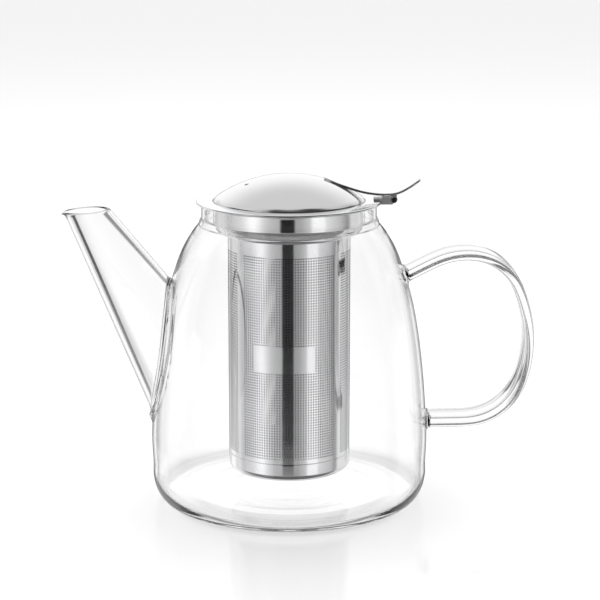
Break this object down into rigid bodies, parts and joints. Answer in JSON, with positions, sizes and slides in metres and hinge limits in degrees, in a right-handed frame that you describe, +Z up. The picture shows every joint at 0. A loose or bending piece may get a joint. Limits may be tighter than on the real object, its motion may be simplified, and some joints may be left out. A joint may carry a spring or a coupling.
{
  "type": "teapot infuser",
  "caption": "Clear glass teapot with a fused spout and strap handle, and a lift-out perforated steel infuser closed by a hinged domed lid with a thumb lever.",
  "frame": {"origin": "centre of the jug's flat base, on the axis of the body, neck, infuser and lid", "axes": "+Z up, +X towards the handle and the lid's thumb lever, -X towards the spout"},
  "size_m": [0.2357, 0.139, 0.164],
  "materials": {
    "clear_glass": "clear, fire-polished borosilicate",
    "polished_steel": "mirror-polished stainless",
    "strainer_steel": "fine vertical brush, perforated",
    "lid_steel": "satin-polished stainless"
  },
  "bodies": {
    "jug": {"jug_body": "clear_glass", "spout": "clear_glass", "handle": "clear_glass"},
    "infuser": {"rim_collar": "polished_steel", "strainer_wall": "strainer_steel", "strainer_base": "strainer_steel", "hinge_bracket": "polished_steel", "hinge_pin": "polished_steel"},
    "lid": {"lid_dome": "lid_steel", "lid_lever": "polished_steel", "lever_knuckle": "polished_steel"}
  },
  "joints": [
    {"name": "infuser_lift", "type": "slide", "parent": "jug", "child": "infuser", "axis": [0, 0, 1], "range_m": [0, 0.14]},
    {"name": "lid_hinge", "type": "hinge", "parent": "infuser", "child": "lid", "pos_m": [0.0517, 0, 0.1522], "axis": [0, 1, 0], "range_deg": [0, 85]}
  ]
}
